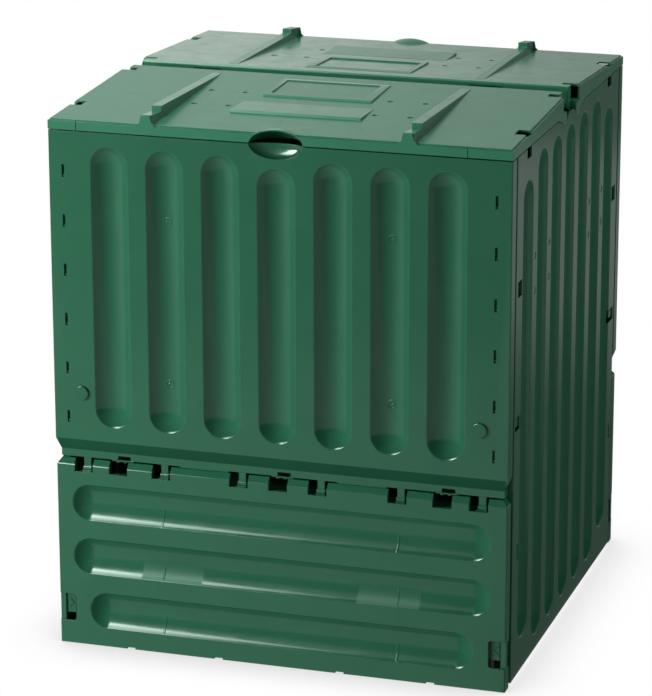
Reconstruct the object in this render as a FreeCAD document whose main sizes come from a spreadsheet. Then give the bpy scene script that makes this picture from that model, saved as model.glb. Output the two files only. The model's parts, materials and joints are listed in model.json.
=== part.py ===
import FreeCAD, Part

import os
import re

import Sketcher

# A garden compost bin of clipped plastic panels: four walls, a lid in two halves
# and a flap at the foot of the front and of the back.
# X runs along the front, the front faces -Y, Z is up, millimetres.
# The origin is on the ground, under the middle of the bin.

SIZES = {
    # The whole bin
    "half_width": 350,
    "half_depth": 350,
    "wall_top": 799,
    "skin": 3,
    "seam_gap": 1.6,
    "edge_round": 2,
    # Flutes: troughs of one round section in every wall and flap
    "flute_pitch": 85.3,
    "flute_radius": 35.3,
    "flute_axis": 20.8,
    "flute_half": 28.5,
    "flute_top": 779,
    "middle_flute_top": 765,
    "rim_radius": 2,
    "upper_flute_foot": 350.6,
    "side_flute_foot": 26,
    "outer_flute_foot": 54,
    "outer_flute_top": 751,
    # Upper front and back walls
    "panel_half": 350,
    "panel_return": 22,
    "face_foot": 328.6,
    "ledge_top": 309.5,
    "ledge_foot": 298.5,
    "ledge_inset": 7,
    "slot_place": 327.5,
    "slot_width": 4,
    "slot_height": 19,
    "slot_pitch": 75.2,
    "lowest_slot": 363,
    "window_width": 20,
    "window_height": 6,
    "window_foot": 299,
    "lip_foot": 296.7,
    "lip_back": 10,
    "clip_back": 9.5,
    # Finger grip shared by the wall and the lid
    "grip_half": 41.5,
    "grip_height": 21.5,
    "grip_depth": 15,
    "grip_middle": 800,
    "hood_back": 45,
    "hood_height": 22,
    "hood_skin": 2,
    "hood_half": 100,
    "hood_reach": 150,
    # Studs and corner braces
    "stud_place": 306,
    "stud_level": 401,
    "stud_head": 11.25,
    "stud_rise": 3.5,
    "stud_shank": 4,
    "stud_room": 0.1,
    "stud_length": 20,
    "stud_dome": 1.5,
    "brace_height": 20,
    "brace_front": 8.3,
    "brace_inner": 296,
    "brace_outer": 337,
    "brace_reach": 60,
    "nub_outer": 348,
    "nub_front": 38,
    "nub_back": 54,
    "nub_half": 5.5,
    "boss_front": 4,
    "boss_back": 22,
    # Flap
    "flap_half": 349,
    "flap_foot": 1,
    "flap_top": 286.5,
    "flap_lip": 296,
    "flap_return": 21,
    "flap_floor": 10,
    "low_trough": 58.4,
    "trough_tip": 325,
    "low_trough_tip": 300,
    "foot_notch_width": 13,
    "foot_notch_top": 3.5,
    # Flap hinge: six fingers of the wall end in beads that sit in sockets of the flap
    "hinge_level": 281,
    "hinge_depth": 341,
    "bead_radius": 4.5,
    "bead_room": 0.08,
    "socket_radius": 7.5,
    "socket_width": 14,
    "bead_width": 13,
    "finger_width": 11,
    "finger_shift": 4,
    "finger_root": 6,
    "notch_floor": 277,
    "notch_width": 29,
    "notch_wall": 2,
    # Flap catches: depths are measured from the flap's face
    "catch_window": 323,
    "catch_foot": 48,
    "catch_top": 80,
    "catch_travel": 11,
    "catch_room": 0.4,
    "window_corner": 5,
    "window_depth": 3.5,
    "thumb_inner": 326,
    "thumb_outer": 339,
    "thumb_front": 6,
    "slider_inner": 321,
    "slider_outer": 342.8,
    "slider_front": 8.5,
    "slider_back": 10.5,
    "slider_room": 0.3,
    "arm_inner": 333,
    "peg_inner": 338.3,
    "peg_outer": 343.5,
    "peg_front": 16,
    "peg_back": 19,
    "peg_foot": 56,
    "peg_top": 60,
    "arrow_tip": 328,
    "arrow_front": 5,
    "arrow_reach": 7.5,
    "arrow_rise": 8,
    "arrow_bar": 2,
    # Guides that the catches slide in
    "guide_over": 4,
    "rail_inner": 317,
    "rail_outer": 323.5,
    "rail_back": 13.5,
    "guard_inner": 341,
    "guard_outer": 348,
    "guard_back": 12.6,
    "slit_inner": 340,
    "slit_foot": 35,
    "slit_top": 76,
    # Keepers: hooks at the foot of the side walls that the catches slide behind
    "keeper_foot": 24,
    "keeper_floor": 44.4,
    "keeper_top": 55,
    "keeper_lip": 334.8,
    "keeper_face": 336.6,
    # Side walls
    "side_half": 321,
    "side_foot": 5,
    "above_seam": 6,
    "return_inset": 11,
    "web_depth": 345,
    "low_web_depth": 325,
    "hinge_clear_foot": 258,
    "web_top": 796,
    "post_foot": 331,
    "post_inner": 325,
    "flange_inner": 315,
    "hole_depth": 6,
    "pocket_near": 288,
    "pocket_far": 311,
    "pocket_foot": 590,
    "pocket_top": 614,
    "pocket_depth": 10,
    "clip_near": 282,
    "clip_far": 316,
    "clip_foot": 390,
    "clip_top": 411,
    "recess_foot": 188,
    "recess_top": 212,
    "recess_depth": 1,
    "notch_near": 243,
    "notch_far": 268,
    "notch_foot": 784,
    "tab_half": 1.5,
    "tab_height": 4,
    "tab_room": 0.4,
    "tab_back": 2,
    "mark_radius": 5.5,
    "mark_depth": 0.6,
    "lug_inner": 328,
    "lug_outer": 333.5,
    # Lid
    "pivot_place": 43,
    "pivot_level": 797,
    "pin_radius": 4.95,
    "pin_room": 0.05,
    "pin_inner": 326.7,
    "hub_radius": 13,
    "hub_room": 0.6,
    "crest": 1,
    "wave_start": 95,
    "skirt_top": 813.5,
    "skirt_step": 2.5,
    "skirt_foot": 785,
    "skirt_end": 51,
    "ridge_place": 20,
    "ridge_level": 831,
    "lid_gap": 2,
    "groove_floor": 805,
    "groove_skin": 2.5,
    "ridge_half": 339.7,
    "ridge_wall": 3,
    "hinge_slot_inner": 325,
    "hinge_slot_near": 36,
    "hinge_slot_far": 51,
    "corner_room": 8,
    "lid_slit_width": 1.2,
    "rib_place": 197,
    "rib_half": 7.5,
    "rib_wall": 2.5,
    "rib_root": 38,
    "rib_top": 835,
    "rib_shoulder": 830,
    "rib_end": 304,
    "rib_hollow": 60,
    "crown_drop": 8,
    "crown_rise": 9.5,
    "dimple_radius": 5,
    "dimple_depth": 0.8,
    # Tie bar between the side walls
    "strut_half": 25,
    "strut_foot": 722,
    "strut_height": 25,
    "strut_reach": 325.4,
    "strut_end_place": 317,
    "strut_end_half": 4,
    "strut_end_foot": 736,
    "shelf_inner": 322,
    "shelf_outer": 335,
    "shelf_half": 21,
    "shelf_lip": 12,
}

doc = FreeCAD.newDocument("compost_bin")
sheet = doc.addObject("Spreadsheet::Sheet", "sizes")
for row, (alias, size) in enumerate(SIZES.items(), start=1):
    sheet.set(f"A{row}", alias)
    sheet.set(f"B{row}", str(size))
    sheet.setAlias(f"B{row}", alias)
doc.recompute()

FLUTES = range(-3, 4)
NOTCHES = (-306, -251, -183, -61, 0, 61, 183, 251, 306)
FINGERS = (-306, -183, -61, 61, 183, 306)
WINDOWS = (-251, 0, 251)
WINDOW_SHIFT = 8
LEVELS = range(6)
LONG_EDGE = 100
# Strips and clip lips under the upper wall's ledge; a clip is given from its window's middle
LIP_STRIPS = ((-155, -78), (90, 165))
CLIP_LIPS = ((-19, -11, 297.2, 299.2), (-12, -7.5, 295.2, 298), (-8, 0.5, 296.8, 299),
             (0, 3.6, 295.2, 298), (3.2, 15, 297.2, 299.2))
FOOT_NOTCHES = (-235, -95, 95, 235)
# Round marks on the side walls: distance from the middle, height
MARKS = ((128, 629), (213, 629), (128, 576), (213, 576))
# Lid details: slits in the front skirt, recesses beside the groove, dimples
SLITS = {"left": -306, "right": 284}
RECESSES = {"left": (-240, -187), "right": (209, 253)}
DIMPLES = tuple((x, y) for x in (-170, -116, 109, 163) for y in (138, 218))
# Plates on the lid, across it and as (distance from the bin's middle, rise above the lid) along it
SQUARE_PLATE = ((-85, 83), ((45, -1), (45, 0.2), (57, 1.5), (150, 2.5), (153, -1)))
SQUARE_PANEL = ((-77, 70), ((57, 0), (57, 4), (138, 4), (138, 0.4)))
LONG_PLATE = ((-103, 97), ((185, -1), (185, 0.2), (249, 3.4), (252, -1)))
# Feet of the rib tabs: left and right of the rib's middle at the foot and at the top
TAB = (11.5, 9.5, 8, 6, "rib_shoulder - 0.6")
TAB_FOOT = (17, 15, 11, 9, "skirt_top + 5")
ENDS = ("front", "back")
HANDS = (("left", -1), ("right", 1))


def size(alias):
    """A driving size from the sheet, for what a formula can't reach."""
    return float(sheet.get(alias))


def formula(text):
    """A formula whose words point at the sheet's cells."""
    def cell(found):
        word = found.group(0)
        return "sizes." + word if word in SIZES else word
    return re.sub(r"[a-z_]+", cell, str(text))


def place_at(part, x=None, y=None, z=None):
    for letter, text in (("x", x), ("y", y), ("z", z)):
        if text is not None:
            part.setExpression("Placement.Base." + letter, formula(text))
    return part


def block(name, x, y, z):
    """A box from a low to a high formula on each axis."""
    part = doc.addObject("Part::Box", name)
    for edge, (low, high) in (("Length", x), ("Width", y), ("Height", z)):
        part.setExpression(edge, formula(f"({high}) - ({low})"))
    return place_at(part, x[0], y[0], z[0])


TURNS = {
    "x": FreeCAD.Rotation(FreeCAD.Vector(0, 1, 0), 90),
    "y": FreeCAD.Rotation(FreeCAD.Vector(1, 0, 0), -90),
    "z": FreeCAD.Rotation(),
}


def rod(name, axis, radius, low, high, x="0", y="0", z="0"):
    """A round rod along an axis, from low to high on it."""
    part = doc.addObject("Part::Cylinder", name)
    part.Placement.Rotation = TURNS[axis]
    part.setExpression("Radius", formula(radius))
    part.setExpression("Height", formula(f"({high}) - ({low})"))
    middle = {"x": x, "y": y, "z": z}
    middle[axis] = low
    return place_at(part, **middle)


def ball(name, radius, x, y, z):
    part = doc.addObject("Part::Sphere", name)
    part.setExpression("Radius", formula(radius))
    return place_at(part, x, y, z)


def egg(name, half_x, half_y, half_z, x, y, z):
    """An ellipsoid by its three half sizes."""
    part = doc.addObject("Part::Ellipsoid", name)
    part.setExpression("Radius2", formula(half_x))
    part.setExpression("Radius3", formula(half_y))
    part.setExpression("Radius1", formula(half_z))
    return place_at(part, x, y, z)


def taper(name, low, high):
    """A block whose top rectangle differs from its bottom one: (x0, x1, y0, y1, z) for each."""
    part = doc.addObject("Part::Wedge", name)
    part.Placement.Rotation = FreeCAD.Rotation(FreeCAD.Vector(1, 0, 0), 90)
    faces = (("Xmin", low[0]), ("Xmax", low[1]), ("Zmin", f"-({low[3]})"), ("Zmax", f"-({low[2]})"),
             ("X2min", high[0]), ("X2max", high[1]), ("Z2min", f"-({high[3]})"),
             ("Z2max", f"-({high[2]})"), ("Ymin", low[4]), ("Ymax", high[4]))
    for edge, text in faces:
        part.setExpression(edge, formula(text))
    return part


def sheet_outline(name, points):
    """A closed sketch in the YZ plane whose corners are bound to the sheet."""
    sketch = doc.addObject("Sketcher::SketchObject", name)
    count = len(points)
    for index in range(count):
        start = FreeCAD.Vector(index, index * index, 0)
        end = FreeCAD.Vector(index + 1, (index + 1) ** 2, 0)
        sketch.addGeometry(Part.LineSegment(start, end), False)
    for index in range(count):
        sketch.addConstraint(Sketcher.Constraint("Coincident", index, 2, (index + 1) % count, 1))
    for index, corner in enumerate(points):
        for way, text in zip(("DistanceX", "DistanceY"), corner):
            number = sketch.addConstraint(Sketcher.Constraint(way, -1, 1, index, 1, 1.0))
            sketch.setExpression(f"Constraints[{number}]", formula(text))
    sketch.Placement.Rotation = FreeCAD.Rotation(FreeCAD.Vector(1, 1, 1), 120)
    return sketch


def prism(name, points, low, high):
    """A YZ outline extruded along X from low to high."""
    sketch = place_at(sheet_outline(name + "_outline", points), x=low)
    part = doc.addObject("Part::Extrusion", name)
    part.Base = sketch
    part.DirMode = "Custom"
    part.Dir = FreeCAD.Vector(1, 0, 0)
    part.Solid = True
    part.setExpression("LengthFwd", formula(f"({high}) - ({low})"))
    return part


def fuse(name, parts):
    part = doc.addObject("Part::MultiFuse", name)
    part.Shapes = parts
    return part


def group(name, parts):
    part = doc.addObject("Part::Compound", name)
    part.Links = parts
    return part


def cut(name, base, tool):
    part = doc.addObject("Part::Cut", name)
    part.Base = base
    part.Tool = tool
    return part


def common(name, base, tool):
    part = doc.addObject("Part::Common", name)
    part.Base = base
    part.Tool = tool
    return part


def round_edges(name, base, radius, chosen):
    """Round the edges that a test picks."""
    doc.recompute()
    part = doc.addObject("Part::Fillet", name)
    part.Base = base
    part.Edges = [(number, radius, radius) for number, edge in enumerate(base.Shape.Edges, start=1)
                  if chosen(edge)]
    return part


finished = []


def finish(label, part, turned=False):
    """Name a sub-part; the back and the left are the front and the right, half a turn about Z."""
    part.Label = label
    if turned:
        part.Placement = FreeCAD.Placement(FreeCAD.Vector(), FreeCAD.Rotation(FreeCAD.Vector(0, 0, 1), 180))
    finished.append(part)


def upright_flute(name, radius, x, y, foot, top):
    """A trough's round bar, upright, with a ball at each end."""
    low = f"({foot}) + flute_half"
    high = f"({top}) - flute_half"
    bar = rod(name + "_bar", "z", radius, low, high, x=x, y=y)
    ends = [ball(f"{name}_{which}", radius, x, y, level) for which, level in (("foot", low), ("top", high))]
    return fuse(name, [bar] + ends)


def level_flute(name, radius, tip, y, z):
    """A trough's round bar along X, with a ball at each end."""
    far = f"({tip}) - flute_half"
    bar = rod(name + "_bar", "x", radius, f"-({far})", far, y=y, z=z)
    ends = [ball(f"{name}_{which}", radius, f"{sign}({far})", y, z)
            for which, sign in (("low", "-"), ("high", ""))]
    return fuse(name, [bar] + ends)


def near(value, wanted, slack=0.05):
    return abs(value - wanted) < slack


def on_plane(edge, axis, level):
    """Whether an edge lies in one plane across an axis."""
    box = edge.BoundBox
    low, high = {"x": (box.XMin, box.XMax), "y": (box.YMin, box.YMax), "z": (box.ZMin, box.ZMax)}[axis]
    return near(low, level) and near(high, level)


# Upper wall

def upper_panel(end):
    tag = end + "_wall_"
    face = "-half_depth"
    back = "panel_return - half_depth"
    shell = {}
    for kind, inset, rise in (("outer", "0", "0"), ("inner", "skin", "1")):
        wide = f"panel_half - {inset}"
        narrow = f"panel_half - ledge_inset - {inset}"
        front = f"{face} + {inset}"
        deep = f"{face} + ledge_inset + {inset}"
        rear = f"{back} + {rise}"
        shell[kind] = fuse(tag + kind, [
            block(tag + kind + "_face", (f"-({wide})", wide), (front, rear),
                  ("face_foot", f"wall_top + {rise}")),
            taper(tag + kind + "_chamfer",
                  (f"-({narrow})", narrow, deep, rear, "ledge_top"),
                  (f"-({wide})", wide, front, rear, "face_foot")),
            block(tag + kind + "_ledge", (f"-({narrow})", narrow), (deep, rear),
                  (f"ledge_foot - {rise}", "ledge_top"))])
    hull = round_edges(tag + "hull", shell["outer"], size("edge_round"), lambda edge: (
        near(abs(edge.CenterOfMass.x), size("panel_half")) and near(edge.CenterOfMass.y, -size("half_depth"))
        and edge.BoundBox.ZLength > LONG_EDGE))
    hollow = cut(tag + "hollow", hull, shell["inner"])

    bars = {}
    for kind, radius in (("troughs", "flute_radius"), ("bulges", "flute_radius + skin")):
        flutes = []
        for count in FLUTES:
            top = "flute_top" if count else "middle_flute_top"
            flutes.append(upright_flute(f"{tag}{kind}_{count + 4}", radius, f"{count} * flute_pitch",
                                        "-(half_depth + flute_axis)", "upper_flute_foot", top))
        bars[kind] = group(tag + kind, flutes)
    room = block(tag + "room", ("-half_width", "half_width"), (face, back), ("face_foot", "wall_top"))
    bulges = common(tag + "bulges_in", bars["bulges"], room)
    dish_back = common(tag + "dish_back", egg(
        tag + "dish_shell", "grip_half + skin", "grip_depth + skin", "grip_height + skin",
        "0", face, "grip_middle"), room)

    fingers = []
    for count, place in enumerate(FINGERS, start=1):
        middle = f"{place} + finger_shift"
        fingers.append(block(f"{tag}finger_{count}",
                             (f"{middle} - finger_width / 2", f"{middle} + finger_width / 2"),
                             ("-hinge_depth - skin / 2", "-hinge_depth + skin / 2"),
                             ("hinge_level", "ledge_foot + finger_root")))
        fingers.append(rod(f"{tag}bead_{count}", "x", "bead_radius", f"{middle} - bead_width / 2",
                           f"{middle} + bead_width / 2", y="-hinge_depth", z="hinge_level"))
    lips = []
    for count, (low, high) in enumerate(LIP_STRIPS, start=1):
        lips.append(block(f"{tag}lip_{count}", (str(low), str(high)),
                          (f"{face} + ledge_inset", f"{face} + lip_back"), ("lip_foot", "ledge_foot + 1")))
    for count, place in enumerate(WINDOWS, start=1):
        middle = f"({place} + {WINDOW_SHIFT})"
        for part, (low, high, foot, top) in enumerate(CLIP_LIPS, start=1):
            lips.append(block(f"{tag}clip_{count}_{part}", (f"{middle} + {low}", f"{middle} + {high}"),
                              (f"{face} + ledge_inset - 1", f"{face} + clip_back"), (str(foot), str(top))))
    body = fuse(tag + "body", [hollow, bulges, dish_back] + fingers + lips)

    tools = [bars["troughs"], egg(tag + "dish", "grip_half", "grip_depth", "grip_height",
                                  "0", face, "grip_middle")]
    for hand, sign in HANDS:
        for level in LEVELS:
            low = f"lowest_slot + {level} * slot_pitch - slot_height / 2"
            middle = f"{sign} * slot_place"
            tools.append(block(f"{tag}{hand}_slot_{level + 1}",
                               (f"{middle} - slot_width / 2", f"{middle} + slot_width / 2"),
                               (f"{face} - 1", f"{face} + skin + 1"), (low, f"{low} + slot_height")))
        tools.append(rod(f"{tag}{hand}_stud_hole", "y", "stud_shank + stud_room", f"{face} - 1",
                         f"{face} + skin + 1", x=f"{sign} * stud_place", z="stud_level"))
    for count, place in enumerate(WINDOWS, start=1):
        middle = f"{place} + {WINDOW_SHIFT}"
        tools.append(block(f"{tag}window_{count}",
                           (f"{middle} - window_width / 2", f"{middle} + window_width / 2"),
                           (f"{face} + ledge_inset - 2", f"{face} + ledge_inset + skin + 1"),
                           ("window_foot", "window_foot + window_height")))
    opened = cut(tag + "opened", body, group(tag + "openings", tools))
    rounded = round_edges(tag + "rounded", opened, size("rim_radius"), lambda edge: (
        on_plane(edge, "y", -size("half_depth")) and edge.BoundBox.ZLength > size("flute_half") - 1
        and edge.BoundBox.ZMax < size("flute_top") + 1 and abs(edge.CenterOfMass.x) < size("stud_place") - 15
        and edge.BoundBox.XLength < 2 * size("flute_half") + 1))
    finish(f"{end}_upper_panel", rounded, end == "back")


# Bottom flap

# Where a socket is open for its finger, in socket radii from the hinge's axis
BORE_MOUTH = ((0, 0), (-1.15, -0.46), (-1.6, 1.6), (0.46, 1.15))


def flap(end):
    tag = end + "_flap_"
    face = "-half_depth"
    back = "flap_return - half_depth"
    shell = {}
    for kind, inset, rise in (("outer", "0", "0"), ("inner", "skin", "1")):
        wide = f"flap_half - {inset}"
        narrow = f"flap_half - ledge_inset - {inset}"
        front = f"{face} + {inset}"
        deep = f"{face} + ledge_inset + {inset}"
        rear = f"{back} + {rise}"
        shell[kind] = fuse(tag + kind, [
            block(tag + kind + "_face", (f"-({wide})", wide), (front, rear),
                  (f"flap_foot + {inset}", "flap_top")),
            taper(tag + kind + "_lip",
                  (f"-({wide})", wide, front, rear, "flap_top"),
                  (f"-({narrow})", narrow, deep, rear, f"flap_lip + {rise}"))])
    hull = round_edges(tag + "hull", shell["outer"], size("edge_round"), lambda edge: (
        near(abs(edge.CenterOfMass.x), size("flap_half")) and near(edge.CenterOfMass.y, -size("half_depth"))
        and edge.BoundBox.ZLength > LONG_EDGE))
    inner_foot = block(tag + "inner_foot", ("-flap_half + skin", "flap_half - skin"),
                       (f"{face} + flap_floor", f"{back} + 1"), ("flap_foot - 1", "flap_foot + skin + 1"))
    hollow = cut(tag + "hollow", hull, fuse(tag + "hollow_room", [shell["inner"], inner_foot]))

    bars = {}
    for kind, radius in (("troughs", "flute_radius"), ("bulges", "flute_radius + skin")):
        flutes = []
        for count, tip in enumerate(("low_trough_tip", "trough_tip", "trough_tip")):
            flutes.append(level_flute(f"{tag}{kind}_{count + 1}", radius, tip, "-(half_depth + flute_axis)",
                                      f"low_trough + {count} * flute_pitch"))
        bars[kind] = group(tag + kind, flutes)
    room = block(tag + "room", ("-half_width", "half_width"), (face, back), ("flap_foot", "flap_top"))
    bulges = common(tag + "bulges_in", bars["bulges"], room)

    sockets = []
    bores = []
    mouth = tuple((f"-hinge_depth + {along} * socket_radius", f"hinge_level + {up} * socket_radius")
                  for along, up in BORE_MOUTH)
    for count, place in enumerate(FINGERS, start=1):
        middle = f"{place} + finger_shift"
        low = f"{middle} - socket_width / 2"
        high = f"{middle} + socket_width / 2"
        sockets.append(rod(f"{tag}socket_{count}", "x", "socket_radius", low, high,
                           y="-hinge_depth", z="hinge_level"))
        bores.append(fuse(f"{tag}bore_{count}", [
            rod(f"{tag}bore_round_{count}", "x", "bead_radius + bead_room", f"{low} - 1", f"{high} + 1",
                y="-hinge_depth", z="hinge_level"),
            prism(f"{tag}bore_mouth_{count}", mouth, f"{low} - 1", f"{high} + 1")]))

    notches = []
    for count, place in enumerate(NOTCHES, start=1):
        low = f"{place} - notch_width / 2"
        high = f"{place} + notch_width / 2"
        notches.append(block(f"{tag}notch_{count}", (low, high), (f"{face} - 1", f"{back} + 1"),
                             ("notch_floor", "flap_lip + 1")))
        sockets.append(block(f"{tag}notch_floor_{count}", (f"{low} - 1", f"{high} + 1"),
                             (f"{face} + skin / 2", "-hinge_depth + 1"),
                             ("hinge_level - socket_radius", "notch_floor")))
        for side, run in (("low", (f"{low} - notch_wall", low)), ("high", (high, f"{high} + notch_wall"))):
            sockets.append(block(f"{tag}notch_wall_{count}_{side}", run,
                                 (f"{face} + skin / 2", "-hinge_depth + skin"),
                                 ("hinge_level - socket_radius", "flap_top + 2")))
    for count, place in enumerate(FOOT_NOTCHES, start=1):
        notches.append(block(f"{tag}foot_notch_{count}",
                             (f"{place} - foot_notch_width / 2", f"{place} + foot_notch_width / 2"),
                             (f"{face} - 1", f"{face} + flap_floor + 1"), ("flap_foot - 1", "foot_notch_top")))
    notches.append(bars["troughs"])

    guides = []
    slides = []
    window_low = "catch_foot - catch_travel"
    for hand, sign in HANDS:
        def across(low, high, sign=sign):
            return (low, high) if sign > 0 else (f"-({high})", f"-({low})")
        guide = (f"{window_low} - guide_over", "catch_top + guide_over")
        open_run = (f"{window_low} - catch_room", "catch_top + catch_room")
        guides.append(block(f"{tag}{hand}_rail", across("rail_inner", "rail_outer"),
                            (f"{face} + skin", f"{face} + rail_back"), guide))
        guides.append(block(f"{tag}{hand}_guard", across("guard_inner", "guard_outer"),
                            (f"{face} + skin", f"{face} + guard_back"), guide))
        window = block(f"{tag}{hand}_window_room", across("catch_window", "flap_half + 1"),
                       (f"{face} - 1", f"{face} + window_depth"), (window_low, "catch_top"))
        slides.append(fuse(f"{tag}{hand}_catch_room", [
            round_edges(f"{tag}{hand}_window", window, size("window_corner"), lambda edge: (
                near(abs(edge.CenterOfMass.x), size("catch_window")) and edge.BoundBox.YLength > 1)),
            block(f"{tag}{hand}_groove", across("slider_inner - catch_room", "slider_outer + catch_room"),
                  (f"{face} + slider_front - slider_room", f"{face} + slider_back + slider_room"), open_run),
            block(f"{tag}{hand}_slit", across("slit_inner", "flap_half + 1"),
                  (f"{face} + guard_back", f"{back} + 1"), ("slit_foot", "slit_top"))]))
    body = fuse(tag + "body", [cut(tag + "notched", fuse(tag + "shell", [hollow, bulges]),
                                   group(tag + "openings", notches))] + sockets + guides)
    opened = cut(tag + "opened", body, group(tag + "slides", bores + slides))
    rounded = round_edges(tag + "rounded", opened, size("rim_radius"), lambda edge: (
        on_plane(edge, "y", -size("half_depth")) and edge.BoundBox.XLength > size("flute_half") - 1
        and edge.BoundBox.XMax < size("trough_tip") + 1 and edge.BoundBox.XMin > -size("trough_tip") - 1
        and edge.BoundBox.ZLength < 2 * size("flute_half") + 1
        and size("flap_floor") < edge.CenterOfMass.z < size("notch_floor") - 10))
    finish(f"{end}_flap", rounded, end == "back")


# Sliding catches of the flap, each with an arrow in relief on its thumb piece

def catch(end, hand, sign):
    tag = f"{end}_{hand}_catch_"
    face = "-half_depth"

    def across(low, high):
        return (low, high) if sign > 0 else (f"-({high})", f"-({low})")

    def depth(front, rear):
        return f"{face} + {front}", f"{face} + {rear}"

    height = ("catch_foot", "catch_top")
    arm_height = ("peg_foot", "peg_top")
    parts = [
        block(tag + "thumb", across("thumb_inner", "thumb_outer"), depth("thumb_front", "slider_front"),
              height),
        block(tag + "slider", across("slider_inner", "slider_outer"), depth("slider_front", "slider_back"),
              height),
        block(tag + "arm", across("arm_inner", "peg_inner"), depth("slider_back", "peg_back"), arm_height),
        block(tag + "peg", across("peg_inner", "peg_outer"), depth("peg_front", "peg_back"), arm_height)]
    # The arrow is an angle of two bars that points to the middle of the bin
    middle = "(catch_foot + catch_top) / 2"
    upper = (("arrow_reach", "arrow_rise"),
             ("arrow_reach + 0.73 * arrow_bar", "arrow_rise - 0.68 * arrow_bar"))
    corners = (("0", "0"), upper[0], upper[1], ("1.37 * arrow_bar", "0"),
               (upper[1][0], f"-({upper[1][1]})"), (upper[0][0], f"-({upper[0][1]})"))
    outline = tuple((f"{-sign} * (arrow_tip + {out})", f"{middle} + {up}") for out, up in corners)
    arrow = prism(tag + "arrow", outline, *depth("arrow_front", "thumb_front + 0.5"))
    arrow.Placement.Rotation = FreeCAD.Rotation(FreeCAD.Vector(0, 0, 1), 90)
    parts.append(arrow)
    finish(f"{end}_{hand}_catch", fuse(tag + "body", parts), end == "back")


# Region below the seam between lid and side wall: a straight run, a dip round each lid
# pivot and a crest between them, joined by tangent arcs

FALL = "(pow(wave_start - pivot_place; 2) + pow(wall_top - pivot_level; 2) - pow(hub_radius; 2))"
WAVE_RADIUS = f"({FALL} / (2 * (hub_radius + wall_top - pivot_level)))"
CLIMB = "(pow(pivot_place; 2) + pow(wall_top + crest - pivot_level; 2) - pow(hub_radius; 2))"
CREST_RADIUS = f"({CLIMB} / (2 * (hub_radius + wall_top + crest - pivot_level)))"


def below_seam(name, gap, low, high, foot="700"):
    """Everything under the seam between two X levels, grown by a gap."""
    parts = [block(name + "_low", (low, high), ("-wave_start", "wave_start"),
                   (foot, f"pivot_level - 0.85 * hub_radius + {gap}"))]
    for side, sign in (("front", "-"), ("back", "")):
        near_edge = "wave_start"
        far_edge = "half_depth + 2"
        run = (near_edge, far_edge) if not sign else (f"-({far_edge})", f"-{near_edge}")
        parts.append(block(f"{name}_{side}_run", (low, high), run, (foot, f"wall_top + {gap}")))
        parts.append(rod(f"{name}_{side}_wave", "x", f"{WAVE_RADIUS} + {gap}", low, high,
                         y=f"{sign}wave_start", z=f"wall_top - {WAVE_RADIUS}"))
    parts.append(rod(name + "_crest", "x", f"{CREST_RADIUS} + {gap}", low, high,
                     z=f"wall_top + crest - {CREST_RADIUS}"))
    return fuse(name, parts)


# Side wall, drawn for the right hand

# Outline of the lug round a lid pivot, as (distance from the middle, height)
LUG = (("92", "735"), ("92", "765"), ("pivot_place + 11", "pivot_level + 1"),
       ("pivot_place", "pivot_level + 11"), ("pivot_place - 11", "pivot_level"),
       ("pivot_place - 3", "pivot_level - 12"), ("66", "735"))


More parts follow.
